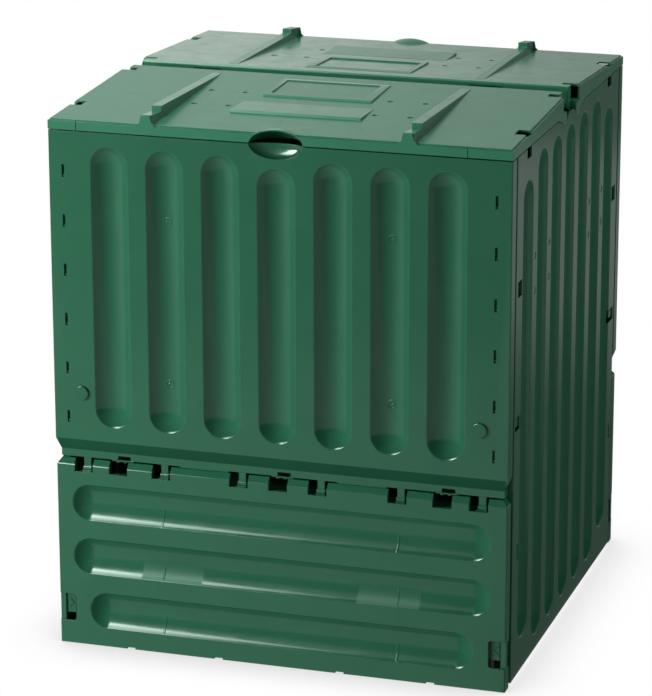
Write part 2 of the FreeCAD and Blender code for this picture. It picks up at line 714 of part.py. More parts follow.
def side_panel(hand):
    tag = hand + "_side_"
    face = "half_width"
    web = (f"{face} - return_inset", f"{face} - return_inset + skin")
    parts = [block(tag + "face", (f"{face} - skin", face), ("-side_half", "side_half"),
                   ("side_foot", "wall_top + above_seam"))]
    bars = {}
    for kind, radius in (("troughs", "flute_radius"), ("bulges", "flute_radius + skin")):
        flutes = []
        for count in FLUTES:
            inner = abs(count) < 3
            flutes.append(upright_flute(f"{tag}{kind}_{count + 4}", radius, "half_width + flute_axis",
                                        f"{count} * flute_pitch",
                                        "side_flute_foot" if inner else "outer_flute_foot",
                                        "flute_top" if inner else "outer_flute_top"))
        bars[kind] = group(tag + kind, flutes)
    room = block(tag + "room", ("half_width - flute_radius", face), ("-side_half", "side_half"),
                 ("side_foot", "wall_top"))
    parts.append(common(tag + "bulges_in", bars["bulges"], room))

    holes = []
    tabs = []
    for end, way in (("front", -1), ("back", 1)):
        def along(low, high, way=way):
            return (low, high) if way > 0 else (f"-({high})", f"-({low})")
        name = f"{tag}{end}_"
        parts.append(block(name + "return", (web[0], face), along("side_half - skin", "side_half"),
                           ("side_foot", "web_top")))
        parts.append(block(name + "web", web, along("side_half - skin", "web_depth"),
                           ("post_foot", "web_top")))
        parts.append(block(name + "flange", ("flange_inner", web[1]), along("web_depth - skin", "web_depth"),
                           ("post_foot", "web_top")))
        parts.append(block(name + "low_web", web, along("side_half - skin", "low_web_depth"),
                           ("0", "hinge_clear_foot")))
        parts.append(block(name + "post", ("post_inner", web[1]), along("side_half - skin", "side_half"),
                           ("0", "hinge_clear_foot")))
        parts.append(block(name + "foot", ("post_inner", web[1]), along("side_half - skin", "low_web_depth"),
                           ("0", "skin")))
        parts.append(block(name + "pocket_wall", (f"{face} - pocket_depth - skin", f"{face} - 1"),
                           along("pocket_near - skin", "side_half"),
                           ("pocket_foot - skin", "pocket_top + skin")))
        holes.append(block(name + "pocket", (f"{face} - pocket_depth", f"{face} + 1"),
                           along("pocket_near", "pocket_far"), ("pocket_foot", "pocket_top")))
        holes.append(block(name + "clip_hole", (f"{face} - hole_depth", f"{face} + 1"),
                           along("clip_near", "clip_far"), ("clip_foot", "clip_top")))
        holes.append(block(name + "top_notch", (f"{face} - hole_depth", f"{face} + 1"),
                           along("notch_near", "notch_far"), ("notch_foot", "wall_top + 2")))
        holes.append(block(name + "low_recess", (f"{face} - recess_depth", f"{face} + 1"),
                           along("pocket_near", "pocket_far"), ("recess_foot", "recess_top")))
        for level in LEVELS:
            low = f"lowest_slot + {level} * slot_pitch - slot_height / 2 + tab_room"
            tabs.append(block(f"{name}tab_{level + 1}", ("slot_place - tab_half", "slot_place + tab_half"),
                              along("web_depth - 1", "half_depth - tab_back"), (low, f"{low} + tab_height")))
        for count, (place, level) in enumerate(MARKS, start=1):
            holes.append(rod(f"{name}mark_{count}", "x", "mark_radius", f"{face} - mark_depth", f"{face} + 1",
                             y=str(way * place), z=str(level)))
        lug = tuple((f"{way} * ({y})", z) for y, z in LUG)
        parts.append(prism(name + "lug", lug, "lug_inner", "lug_outer"))
        holes.append(rod(name + "pivot_hole", "x", "pin_radius + pin_room", "lug_inner - 1", "lug_outer + 1",
                         y=f"{way} * pivot_place", z="pivot_level"))
        holes.append(rod(name + "hub_room", "x", "hub_radius + hub_room", f"{face} - skin - 1",
                         f"{face} + 1", y=f"{way} * pivot_place", z="pivot_level"))
    shelf = ("strut_foot - skin", "strut_foot")
    parts.append(block(tag + "shelf", ("shelf_inner", "shelf_outer"), ("-shelf_half", "shelf_half"), shelf))
    parts.append(block(tag + "shelf_end", ("shelf_inner", "shelf_inner + skin"),
                       ("1 - shelf_half", "shelf_half - 1"), ("strut_foot - skin", "strut_foot + shelf_lip")))
    above = block(tag + "above_room", (f"{face} - skin - 1", f"{face} + 1"),
                  ("-(half_depth + 1)", "half_depth + 1"), ("pivot_level - hub_radius", "wall_top + 8"))
    above_seam = cut(tag + "above_seam", above, below_seam(tag + "below_seam", "0", f"{face} - skin - 1.5",
                                                           f"{face} + 1.5"))
    solid = fuse(tag + "body", parts + tabs)
    trimmed = cut(tag + "trimmed", solid, above_seam)
    opened = cut(tag + "opened", trimmed, group(tag + "openings", [bars["troughs"]] + holes))
    rounded = round_edges(tag + "rounded", opened, size("rim_radius"), lambda edge: (
        on_plane(edge, "x", size("half_width")) and edge.BoundBox.ZLength > size("flute_half") - 1
        and edge.BoundBox.ZMax < size("flute_top") + 1 and edge.BoundBox.YLength < 2 * size("flute_half") + 1
        and abs(edge.CenterOfMass.y) < size("side_half") - 30))
    finish(f"{hand}_side_panel", rounded, hand == "left")


# Keepers: the side wall's web ends in a hook at each corner that a catch slides behind

def keeper(end, hand, sign):
    tag = f"{end}_{hand}_keeper_"
    low, high = "half_width - return_inset", "half_width - return_inset + skin"
    wide = (low, high) if sign > 0 else (f"-({high})", f"-({low})")
    finish(f"{end}_{hand}_keeper", fuse(tag + "body", [
        block(tag + "base", wide, ("-keeper_face", "-low_web_depth"), ("keeper_foot", "keeper_floor")),
        block(tag + "hook", wide, ("-keeper_face", "-keeper_lip"), ("keeper_floor - 1", "keeper_top"))]),
        end == "back")


# Corner braces and the studs that hold them to the upper wall

def brace(end, hand, sign):
    tag = f"{end}_{hand}_brace_"
    face = "-half_depth"
    height = ("stud_level - brace_height / 2", "stud_level + brace_height / 2")

    def across(low, high):
        return (low, high) if sign > 0 else (f"-({high})", f"-({low})")

    solid = fuse(tag + "solid", [
        block(tag + "wall_leg", across("brace_inner", "brace_outer"),
              (f"{face} + brace_front", f"{face} + brace_front + skin"), height),
        block(tag + "side_leg", across("brace_outer - skin", "brace_outer"),
              (f"{face} + brace_front", f"{face} + brace_reach"), height),
        block(tag + "nub", across("brace_outer - 1", "nub_outer"),
              (f"{face} + nub_front", f"{face} + nub_back"),
              ("stud_level - nub_half", "stud_level + nub_half")),
        rod(tag + "boss", "y", "stud_shank + skin", f"{face} + boss_front", f"{face} + boss_back",
            x=f"{sign} * stud_place", z="stud_level")])
    bored = cut(tag + "bored", solid, rod(tag + "bore", "y", "stud_shank + stud_room",
                                          f"{face} + boss_front - 1", f"{face} + boss_back + 1",
                                          x=f"{sign} * stud_place", z="stud_level"))
    finish(f"{end}_{hand}_brace", bored, end == "back")


def stud(end, hand, sign):
    tag = f"{end}_{hand}_stud_"
    face = "-half_depth"
    middle = {"x": f"{sign} * stud_place", "z": "stud_level"}
    head = rod(tag + "head", "y", "stud_head", f"{face} - stud_rise", face, **middle)
    domed = round_edges(tag + "domed", head, size("stud_dome"), lambda edge: on_plane(
        edge, "y", -size("half_depth") - size("stud_rise")))
    shank = rod(tag + "shank", "y", "stud_shank", face, f"{face} + stud_length", **middle)
    finish(f"{end}_{hand}_stud", fuse(tag + "body", [domed, shank]), end == "back")


# Tie bar: a channel, open below, that rests on a shelf of each side wall

def strut():
    outside = block("strut_outside", ("-strut_reach", "strut_reach"), ("-strut_half", "strut_half"),
                    ("strut_foot", "strut_foot + strut_height"))
    inside = block("strut_inside", ("-strut_reach - 1", "strut_reach + 1"),
                   ("-strut_half + skin", "strut_half - skin"),
                   ("strut_foot - 1", "strut_foot + strut_height - skin"))
    channel = cut("strut_channel", outside, inside)
    ends = []
    for hand, sign in HANDS:
        middle = f"{sign} * strut_end_place"
        ends.append(block(f"strut_end_{hand}", (f"{middle} - strut_end_half", f"{middle} + strut_end_half"),
                          ("-strut_half", "strut_half"), ("strut_end_foot", "strut_foot + strut_height")))
    finish("cross_strut", fuse("strut_body", [channel] + ends))


# Lid half

# Section of the recess cut into the groove's sloping face, across and up
RECESS_OUTLINE = (("-6.2", "groove_floor + 2.9"), ("-3.1", "groove_floor + 5"),
                  ("-14.5", "groove_floor + 21.3"), ("-17.5", "groove_floor + 19.2"))


def lid(end):
    tag = end + "_lid_"
    face = "-half_depth"
    slope = "((ridge_level - skirt_top - skirt_step) / (half_depth - ridge_place))"

    def top(y, drop="0"):
        return f"(skirt_top + skirt_step + {slope} * (({y}) + half_depth) - ({drop}))"

    rim = "-(half_depth - skin)"
    ridge = "-ridge_place"
    plate = prism(tag + "plate", (
        (rim, top(rim, "skin")), (rim, top(rim)), (ridge, "ridge_level"), ("-lid_gap", "groove_floor"),
        ("-lid_gap", "groove_floor - groove_skin"), ("-lid_gap - skin", "groove_floor - groove_skin"),
        ("-lid_gap - skin", "groove_floor - 0.4"), (f"{ridge} - 1.6", "ridge_level - skin")),
        "-(half_width - skin)", "half_width - skin")
    skirt_back = "-skirt_end"
    rim_top = f"({top('-half_depth')} - skirt_step)"
    front_skirt = block(tag + "front_skirt", ("-half_width", "half_width"), (face, f"{face} + skin"),
                        ("wall_top + seam_gap", rim_top))
    parts = [plate, front_skirt]
    holes = []
    for hand, sign in HANDS:
        def across(low, high, sign=sign):
            return (low, high) if sign > 0 else (f"-({high})", f"-({low})")
        name = f"{tag}{hand}_"
        wall = across("half_width - skin", "half_width")
        skirt = fuse(name + "skirt_full", [
            prism(name + "skirt_run", (
                (face, "skirt_foot"), (face, top(face, "skirt_step")),
                (skirt_back, top(skirt_back, "skirt_step")), (skirt_back, "skirt_foot")), wall[0], wall[1]),
            block(name + "skirt_end", wall, (skirt_back, "-pivot_place"), ("skirt_foot", "groove_floor"))])
        low, high = across("half_width - skin - 1", "half_width + 1")
        parts.append(cut(name + "skirt", skirt, below_seam(name + "seam", "seam_gap", low, high)))
        parts.append(prism(name + "skirt_tie", (
            (face, top(face, "skin + 1")), (face, top(face, "skirt_step")),
            (skirt_back, top(skirt_back, "skirt_step")), (skirt_back, top(skirt_back, "skin + 1"))),
            *across("half_width - 2 * skin", "half_width")))
        hub = across("ridge_half - ridge_wall", "half_width")
        parts.append(rod(name + "hub", "x", "hub_radius", hub[0], hub[1], y="-pivot_place", z="pivot_level"))
        pin = across("pin_inner", "ridge_half - ridge_wall + 0.5")
        parts.append(rod(name + "pin", "x", "pin_radius", pin[0], pin[1], y="-pivot_place", z="pivot_level"))
        end_wall = across("ridge_half - ridge_wall", "ridge_half")
        parts.append(prism(name + "ridge_end", (
            ("-pivot_place", "pivot_level"), ("-pivot_place", top("-pivot_place", "1")),
            (ridge, "ridge_level - 0.5"), ("-lid_gap - 0.3", "groove_floor"),
            ("-lid_gap - 0.3", "groove_floor - groove_skin"), ("-pivot_place + 10", "pivot_level - 6")),
            end_wall[0], end_wall[1]))
        holes.append(block(name + "hinge_slot", across("hinge_slot_inner", "half_width + 1"),
                           ("-hinge_slot_far", "-hinge_slot_near"), ("groove_floor", "ridge_level + 1")))
        holes.append(block(name + "ridge_trim", across("ridge_half", "half_width + 1"),
                           ("-hinge_slot_near - 0.1", "0"), ("groove_floor", "ridge_level + 1")))
        holes.append(block(name + "lip_trim", across("ridge_half", "half_width + 1"),
                           ("-pivot_place + hub_radius + 0.1", "0"), ("pivot_level", "ridge_level + 1")))
        holes.append(block(name + "corner_trim", across("ridge_half - 0.6 * ridge_wall", "half_width + 1"),
                           ("-corner_room", "0"), ("groove_floor - corner_room / 2", "groove_floor + 3")))
        holes.append(block(name + "edge_notch", across("half_width - 20", "half_width + 1"),
                           ("-notch_far", "-notch_near"), ("skirt_top + 1.5", "ridge_level")))
        slit = SLITS[hand]
        holes.append(block(name + "slit", (f"{slit} - lid_slit_width / 2", f"{slit} + lid_slit_width / 2"),
                           (f"{face} - 1", f"{face} + lid_slit_width"), ("wall_top", "skirt_top + 1")))
        holes.append(prism(name + "groove_recess", RECESS_OUTLINE, *(str(level) for level in RECESSES[hand])))

    # Two ribs, with a high or a low crown, that interlock when both halves stand open
    for hand, sign in HANDS:
        name = f"{tag}{hand}_rib"
        middle = f"{sign} * rib_place"
        crown_top, shoulder = {"front": ("rib_top", "rib_top - crown_drop"),
                               "back": (top("-rib_end", "-crown_rise"), "rib_top")}[end]
        outline = (("-rib_root", top("-rib_root", "1")), ("-rib_root", top("-rib_root", "-0.2")),
                   ("-rib_end", crown_top), ("-(rib_end + 1)", shoulder), (f"{face} + skin", "rib_shoulder"),
                   (f"{face} + skin", "skirt_top + 0.5"), ("-rib_end", top("-rib_end", "1")))
        parts.append(prism(name, outline, f"{middle} - rib_half", f"{middle} + rib_half"))
        hollow = (("-rib_hollow", top("-rib_hollow", "10")),
                  ("-rib_hollow", top("-rib_hollow", "skin - 0.1")),
                  ("-(rib_end - skin)", f"{crown_top} - skin"), ("-(rib_end - skin)", top("-rib_end", "10")))
        holes.append(prism(name + "_hollow", hollow, f"{middle} - rib_half + rib_wall",
                           f"{middle} + rib_half - rib_wall"))
        for part, plan in (("tab", TAB), ("tab_foot", TAB_FOOT)):
            near_foot, far_foot, near_top, far_top, top_level = plan
            parts.append(taper(f"{name}_{part}",
                               (f"{middle} - {near_foot}", f"{middle} + {far_foot}", face,
                                f"{face} + skin + 0.5", "skirt_top - 1.5"),
                               (f"{middle} - {near_top}", f"{middle} + {far_top}", face,
                                f"{face} + skin + 0.5", top_level)))

    # Hood over the finger grip
    room = block(tag + "hood_room", ("-hood_half", "hood_half"), (face, f"{face} + hood_reach"),
                 ("wall_top + seam_gap", "ridge_level"))
    parts.append(common(tag + "hood", egg(tag + "hood_shell", "grip_half + 1", "hood_back", "hood_height",
                                          "0", face, "grip_middle"), room))
    holes.append(egg(tag + "grip", "grip_half + 1 - hood_skin", "hood_back - hood_skin",
                     "hood_height - hood_skin", "0", face, "grip_middle"))

    # Two bare plates
    def on_lid(plate_name, plan):
        (low, high), outline = plan
        return prism(tag + plate_name, tuple((f"-{y}", top(f"-{y}", f"-({rise})")) for y, rise in outline),
                     str(low), str(high))

    parts.append(on_lid("square_plate", SQUARE_PLATE))
    parts.append(on_lid("long_plate", LONG_PLATE))
    holes.append(on_lid("square_panel", SQUARE_PANEL))
    for count, (place, depth) in enumerate(DIMPLES, start=1):
        holes.append(rod(f"{tag}dimple_{count}", "z", "dimple_radius", top(f"-{depth}", "dimple_depth"),
                         top(f"-{depth}", "-1"), x=str(place), y=f"-{depth}"))
    body = fuse(tag + "body", parts)
    opened = cut(tag + "opened", body, fuse(tag + "openings", holes))
    finish(f"{end}_lid", opened, end == "back")


for end in ENDS:
    upper_panel(end)
    flap(end)
    lid(end)
    for hand, sign in HANDS:
        catch(end, hand, sign)
        keeper(end, hand, sign)
        brace(end, hand, sign)
        stud(end, hand, sign)
for hand, sign in HANDS:
    side_panel(hand)
strut()

doc.recompute()
failed = [part.Name for part in doc.Objects if "Invalid" in part.State or "Error" in part.State]
if failed:
    raise RuntimeError("these objects failed: " + ", ".join(failed))
os.makedirs("parts", exist_ok=True)
for part in finished:
    if part.Shape.isNull() or not part.Shape.isValid():
        raise RuntimeError(part.Label + " has no valid shape")
    part.Shape.exportStep(f"parts/{part.Label}.step")
    print(part.Label, len(part.Shape.Solids), round(part.Shape.Volume / 1000, 1), "cm3")
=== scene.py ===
import json
import math

import bmesh
import bpy
from mathutils import Matrix, Vector


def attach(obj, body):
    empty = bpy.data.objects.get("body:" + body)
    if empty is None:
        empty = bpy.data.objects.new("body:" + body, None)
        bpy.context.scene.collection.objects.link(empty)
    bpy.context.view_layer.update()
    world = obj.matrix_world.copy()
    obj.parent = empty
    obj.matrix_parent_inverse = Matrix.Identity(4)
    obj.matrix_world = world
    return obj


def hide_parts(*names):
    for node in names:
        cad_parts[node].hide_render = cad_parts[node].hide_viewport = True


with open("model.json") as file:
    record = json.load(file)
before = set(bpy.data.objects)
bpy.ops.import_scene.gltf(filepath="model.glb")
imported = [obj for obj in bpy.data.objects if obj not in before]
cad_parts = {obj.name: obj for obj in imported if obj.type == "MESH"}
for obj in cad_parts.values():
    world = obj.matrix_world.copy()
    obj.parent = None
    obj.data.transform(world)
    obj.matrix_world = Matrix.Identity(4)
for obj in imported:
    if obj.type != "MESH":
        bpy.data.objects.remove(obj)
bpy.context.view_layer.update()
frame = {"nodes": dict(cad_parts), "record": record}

# A garden compost bin of dark green moulded panels, seen a little from its right and from above.
# Lengths are metres, in the frame's axes: X along the front, -Y towards the viewer, Z up.

MM = 0.001
nodes = frame["nodes"]
record = frame["record"]
body_of_node = {name: body for body, names in record["behaviour"]["bodies"].items() for name in names}
slot_of_node = {part["node"]: part["material_slot"] for part in record["subparts"]}


# Colours and shader nodes

def linear(code):
    """An sRGB hex colour as linear RGBA."""
    channels = [int(code[place:place + 2], 16) / 255 for place in (1, 3, 5)]
    curve = [c / 12.92 if c <= 0.04045 else ((c + 0.055) / 1.055) ** 2.4 for c in channels]
    return (*curve, 1.0)


WHITE = linear("#ffffff")
BLACK = linear("#000000")


def add(tree, kind, inputs=None, **settings):
    """Add a node; inputs by name or number are set, or linked where the value is a socket."""
    made = tree.nodes.new(kind)
    for name, value in settings.items():
        setattr(made, name, value)
    for name, value in (inputs or {}).items():
        if isinstance(value, bpy.types.NodeSocket):
            tree.links.new(value, made.inputs[name])
        else:
            made.inputs[name].default_value = value
    return made


def new_material(name):
    material = bpy.data.materials.new(name)
    material.use_nodes = True
    material.node_tree.nodes.clear()
    return material, material.node_tree


def combine(tree, operation, first, second=0.0):
    """One Math node; the second value is unused in an operation on one."""
    return add(tree, "ShaderNodeMath", {0: first, 1: second}, operation=operation).outputs[0]


def product(tree, first, second):
    return combine(tree, "MULTIPLY", first, second)


def size_of(tree, value):
    return combine(tree, "ABSOLUTE", value)


def shift(tree, value, amount):
    return combine(tree, "SUBTRACT", value, amount)


def inverse(tree, value):
    return combine(tree, "SUBTRACT", 1.0, value)


def choose(tree, share, first, second):
    """A number between two others: the first where share is zero, the second where it is one."""
    return add(tree, "ShaderNodeMix", {0: share, 2: first, 3: second}).outputs[0]


def curve_step(tree, value, low, high, to_low=0.0, to_high=1.0):
    """A smooth step of a value between two levels."""
    return add(tree, "ShaderNodeMapRange", {"Value": value, "From Min": low, "From Max": high,
                                            "To Min": to_low, "To Max": to_high},
               interpolation_type="SMOOTHSTEP").outputs[0]


def curve_fall(tree, value, low, high, to_high=0.0):
    """A smooth step down from one."""
    return curve_step(tree, value, low, high, 1.0, to_high)


def band(tree, value, low, high, soft):
    """One between low and high, zero outside, with soft edges."""
    return product(tree, curve_step(tree, value, low - soft, low),
                   curve_fall(tree, value, high, high + soft))


def offset_length(tree, first, second):
    """The length of an offset from its two sides."""
    squares = [product(tree, side, side) for side in (first, second)]
    return combine(tree, "SQRT", combine(tree, "ADD", *squares))


def split(tree, place):
    return add(tree, "ShaderNodeSeparateXYZ", {0: place}).outputs


# Places of the details on the mouldings

FLUTE_PITCH = 85.3 * MM
HOLLOW_RADIUS = 26.3 * MM
HOLLOW_FADE = 4 * MM

UPPER_FOOT_LEVEL = 379.1 * MM
UPPER_FLUTES_END = 300 * MM
SIDE_FOOT_LEVEL = 54.5 * MM
OUTER_FOOT_LEVEL = 82.5 * MM
# Painted shade: LEDGE_LEVEL and LEDGE_END bound a dark band painted under the ledge above the flap
LEDGE_LEVEL = (310.5 * MM, 327 * MM)
LEDGE_LEVEL_FADE = 1.5 * MM
LEDGE_END = (345.5 * MM, 347 * MM)

GATE_SIDE = 170.6 * MM
GATE_MIDDLE = 546 * MM
GATE_RISE = 123.5 * MM
GATE_RING = (5.2 * MM, 6.2 * MM)
GATE_RING_FADE = 0.8 * MM
PIP_SIDE = 1.6 * MM
PIP_EDGE = (1.0 * MM, 2.2 * MM)

LOW_TROUGH = 58.4 * MM
TROUGH_END = 296.5 * MM
LOW_TROUGH_END = 271.5 * MM
SEAM_SIDE = (182.2 * MM, 183.4 * MM)
SEAM_FADE = 1.2 * MM
LOWER_HALF = (0.2, 0.42)
LOWER_HALF_FADE = 0.03
PATCH_SIDE = (122 * MM, 216 * MM)
PATCH_SIDE_FADE = 1.5 * MM
PATCH_LEVEL = (118 * MM, 141 * MM)
PATCH_LEVEL_FADE = 4 * MM
BEVEL_LEVEL = (287.2 * MM, 288.2 * MM)

# Painted shade: the lid's groove is darkened in the colour out to this distance from the middle
GROOVE_SIDE = (17.5 * MM, 19.5 * MM)


def off_middle(tree, value, first=0.0):
    """Distance from the middle of the nearest flute of a row; one of the row's middles is at first."""
    return combine(tree, "PINGPONG", shift(tree, value, first), FLUTE_PITCH / 2)


def round_hollow(tree, along, beyond, start):
    """A mask of a flute's round end, by distance from the end's middle; start fades it in from the flute."""
    reach = offset_length(tree, along, beyond)
    return product(tree, start, curve_fall(tree, reach, HOLLOW_RADIUS, HOLLOW_RADIUS + MM))


def upper_wall_marks(tree, place):
    """Gates in two flutes, painted shade under the ledge and the feet of the flutes, which don't shine."""
    side = size_of(tree, place["X"])
    across = shift(tree, side, GATE_SIDE)
    level = shift(tree, size_of(tree, shift(tree, place["Z"], GATE_MIDDLE)), GATE_RISE)
    ring = band(tree, offset_length(tree, across, level), *GATE_RING, GATE_RING_FADE)
    pip = curve_fall(tree, offset_length(tree, shift(tree, across, PIP_SIDE), level), *PIP_EDGE)
    rise = shift(tree, place["Z"], UPPER_FOOT_LEVEL)
    feet = round_hollow(tree, off_middle(tree, place["X"]), rise, curve_fall(tree, rise, -HOLLOW_FADE, 0.0))
    hollow = product(tree, feet, combine(tree, "LESS_THAN", side, UPPER_FLUTES_END))
    # Painted shade: a band under the ledge, darkened in the colour and without shine
    ledge = product(tree, band(tree, place["Z"], *LEDGE_LEVEL, LEDGE_LEVEL_FADE),
                    curve_fall(tree, side, *LEDGE_END))
    return {"height": combine(tree, "ADD", ring, pip), "hollow": hollow, "shade": ledge}


def side_wall_marks(tree, place):
    """The feet of the flutes, which don't shine; the two outer flutes end higher."""
    outer = combine(tree, "GREATER_THAN", size_of(tree, place["Y"]), 2.5 * FLUTE_PITCH)
    rise = shift(tree, place["Z"], choose(tree, outer, SIDE_FOOT_LEVEL, OUTER_FOOT_LEVEL))
    feet = round_hollow(tree, off_middle(tree, place["Y"]), rise, curve_fall(tree, rise, -HOLLOW_FADE, 0.0))
    return {"hollow": feet}


def flap_marks(tree, place):
    """Seams of the mould's inserts low in the troughs, dull patches in the middle one and dull ends."""
    side = size_of(tree, place["X"])
    bottom = shift(tree, place["Z"], LOW_TROUGH - FLUTE_PITCH / 2)
    share = combine(tree, "FRACT", combine(tree, "DIVIDE", bottom, FLUTE_PITCH))
    seam = product(tree, band(tree, side, *SEAM_SIDE, SEAM_FADE),
                   band(tree, share, *LOWER_HALF, LOWER_HALF_FADE))
    patch = product(tree, band(tree, side, *PATCH_SIDE, PATCH_SIDE_FADE),
                    band(tree, place["Z"], *PATCH_LEVEL, PATCH_LEVEL_FADE))
    upper = combine(tree, "GREATER_THAN", place["Z"], LOW_TROUGH + FLUTE_PITCH / 2)
    beyond = shift(tree, side, choose(tree, upper, LOW_TROUGH_END, TROUGH_END))
    ends = round_hollow(tree, off_middle(tree, place["Z"], LOW_TROUGH), beyond,
                        curve_step(tree, beyond, 0.0, HOLLOW_FADE))
    bevel = curve_step(tree, place["Z"], *BEVEL_LEVEL)
    return {"height": seam, "dull": patch, "hollow": combine(tree, "MAXIMUM", ends, bevel)}


def lid_marks(tree, place):
    """Painted shade in the groove between the two halves."""
    return {"shade": curve_fall(tree, size_of(tree, place["Y"]), *GROOVE_SIDE)}


# Polypropylene, injection moulded and coloured through: a waxy, slightly soft gloss from a
# polished tool, faint flow marks and a trace of orange peel

PP_IOR = 1.49
PLAIN_SHINE = 0.5
FLOW_SIZE = 90 * MM
PEEL_SIZE = 2.2 * MM
PEEL_DEPTH = 0.1 * MM
SMUDGE_SIZE = 35 * MM
SMUDGE_NOISE = (0.3, 0.7)
SMUDGE_POLISH = 0.035
SMUDGE_HAZE = 0.045
EDGE_ROUND = 0.9 * MM
SCRATCH_SIZE = 30 * MM
SCRATCH_STRETCH = 14.0
SCRATCH_TURN = math.radians(38)
SCRATCH_NOISE = (0.65, 0.75)
SCRATCH_HAZE = 0.05
DULL_HAZE = 0.3
DULL_SHINE = 0.45
# How far painted shade darkens the colour towards black
PAINTED_SHADE_STRENGTH = 0.42
MARK_DEPTH = 0.7 * MM


def noise(tree, where, grain, **settings):
    """A noise between zero and one with grains of about that size."""
    inputs = {name.title(): value for name, value in settings.items()}
    return add(tree, "ShaderNodeTexNoise", {"Vector": where, "Scale": 1 / grain, **inputs}).outputs["Fac"]


def blend_colours(tree, share, first, second):
    return add(tree, "ShaderNodeMix", {"Factor": share, 6: first, 7: second}, data_type="RGBA").outputs[2]


def moulded_polypropylene(name, shade, tint, roughness, peel, marks=None):
    """Green PP: shade and tint are its two flow colours, and marks adds a moulding's own details and any
    painted shade.
    """
    material, tree = new_material(name)
    where = add(tree, "ShaderNodeTexCoord").outputs["Object"]
    flow = noise(tree, where, FLOW_SIZE, detail=4.0, roughness=0.55, distortion=1.2)
    colour = blend_colours(tree, flow, linear(shade), linear(tint))
    smudge = noise(tree, where, SMUDGE_SIZE, detail=5.0, roughness=0.6)
    low, high = SMUDGE_NOISE
    rough = add(tree, "ShaderNodeMapRange", {"Value": smudge, "From Min": low, "From Max": high,
                                             "To Min": roughness - SMUDGE_POLISH,
                                             "To Max": roughness + SMUDGE_HAZE}).outputs[0]
    turned = add(tree, "ShaderNodeMapping", {"Vector": where, "Scale": (1.0, 1.0, SCRATCH_STRETCH),
                                             "Rotation": (SCRATCH_TURN, SCRATCH_TURN, 0.0)}).outputs[0]
    scratch = noise(tree, turned, SCRATCH_SIZE, detail=2.0, roughness=0.4)
    haze = product(tree, curve_step(tree, scratch, *SCRATCH_NOISE), SCRATCH_HAZE)
    rough = combine(tree, "ADD", rough, haze)
    found = marks(tree, split(tree, where)) if marks else {}
    shine = PLAIN_SHINE
    if "dull" in found:
        rough = combine(tree, "ADD", rough, product(tree, found["dull"], DULL_HAZE))
        shine = product(tree, curve_fall(tree, found["dull"], 0.0, 1.0, DULL_SHINE), shine)
    if "hollow" in found:
        shine = product(tree, inverse(tree, found["hollow"]), shine)
    # Painted shade: where marks give shade, the colour is blended towards black and the shine is taken away
    if "shade" in found:
        colour = blend_colours(tree, product(tree, found["shade"], PAINTED_SHADE_STRENGTH), colour, BLACK)
        shine = product(tree, inverse(tree, found["shade"]), shine)
    orange_peel = noise(tree, where, PEEL_SIZE, detail=3.0, roughness=0.5)
    rounded = add(tree, "ShaderNodeBevel", {"Radius": EDGE_ROUND}, samples=4).outputs[0]
    normal = add(tree, "ShaderNodeBump", {"Strength": peel, "Distance": PEEL_DEPTH, "Height": orange_peel,
                                          "Normal": rounded}).outputs[0]
    if "height" in found:
        normal = add(tree, "ShaderNodeBump", {"Strength": 1.0, "Distance": MARK_DEPTH,
                                              "Height": found["height"], "Normal": normal}).outputs[0]
    skin = add(tree, "ShaderNodeBsdfPrincipled", {"Base Color": colour, "Roughness": rough, "IOR": PP_IOR,
                                                  "Specular IOR Level": shine, "Normal": normal})
    add(tree, "ShaderNodeOutputMaterial", {"Surface": skin.outputs[0]})
    return material


WALL_FLOW = ("#21543d", "#275c44")
LID_FLOW = ("#286349", "#2f6c51")
FITTING_FLOW = ("#1f513b", "#255941")

wall_green = moulded_polypropylene("moulded_pp_wall", *WALL_FLOW, roughness=0.15, peel=0.1)
side_green = moulded_polypropylene("moulded_pp_side_wall", *WALL_FLOW, roughness=0.15, peel=0.1,
                                   marks=side_wall_marks)
upper_green = moulded_polypropylene("moulded_pp_upper_wall", *WALL_FLOW, roughness=0.15, peel=0.1,
                                    marks=upper_wall_marks)
flap_green = moulded_polypropylene("moulded_pp_flap", *WALL_FLOW, roughness=0.115, peel=0.08,
                                   marks=flap_marks)
lid_green = moulded_polypropylene("moulded_pp_lid", *LID_FLOW, roughness=0.2, peel=0.12, marks=lid_marks)
fitting_green = moulded_polypropylene("moulded_pp_fitting", *FITTING_FLOW, roughness=0.17, peel=0.1)

FINISH = {"wall": wall_green, "lid": lid_green, "fitting": fitting_green}
MARKED_PIECES = {"front_upper_panel": upper_green, "back_upper_panel": upper_green,
                 "left_side_panel": side_green, "right_side_panel": side_green,
                 "front_flap": flap_green, "back_flap": flap_green}


# Every piece is shown as a joined, smooth-shaded copy of its construction solid

SHARP_ANGLE = math.radians(28)
BEVEL_ANGLE = math.radians(16)
WIDE_FACE = 3 * MM
SAME_POINT = 0.002 * MM
SAME_WAY = 0.99995


def flat_width(face, cache):
    """How wide the flat area is that a triangle belongs to: its area by its longest side."""
    if face.index in cache:
        return cache[face.index]
    flat = {face}
    waiting = [face]
    while waiting:
        for edge in waiting.pop().edges:
            for other in edge.link_faces:
                if other not in flat and other.normal.dot(face.normal) > SAME_WAY:
                    flat.add(other)
                    waiting.append(other)
    corners = [vert.co for part in flat for vert in part.verts]
    spans = [max(c[axis] for c in corners) - min(c[axis] for c in corners) for axis in range(3)]
    width = sum(part.calc_area() for part in flat) / max(spans)
    for part in flat:
        cache[part.index] = width
    return width


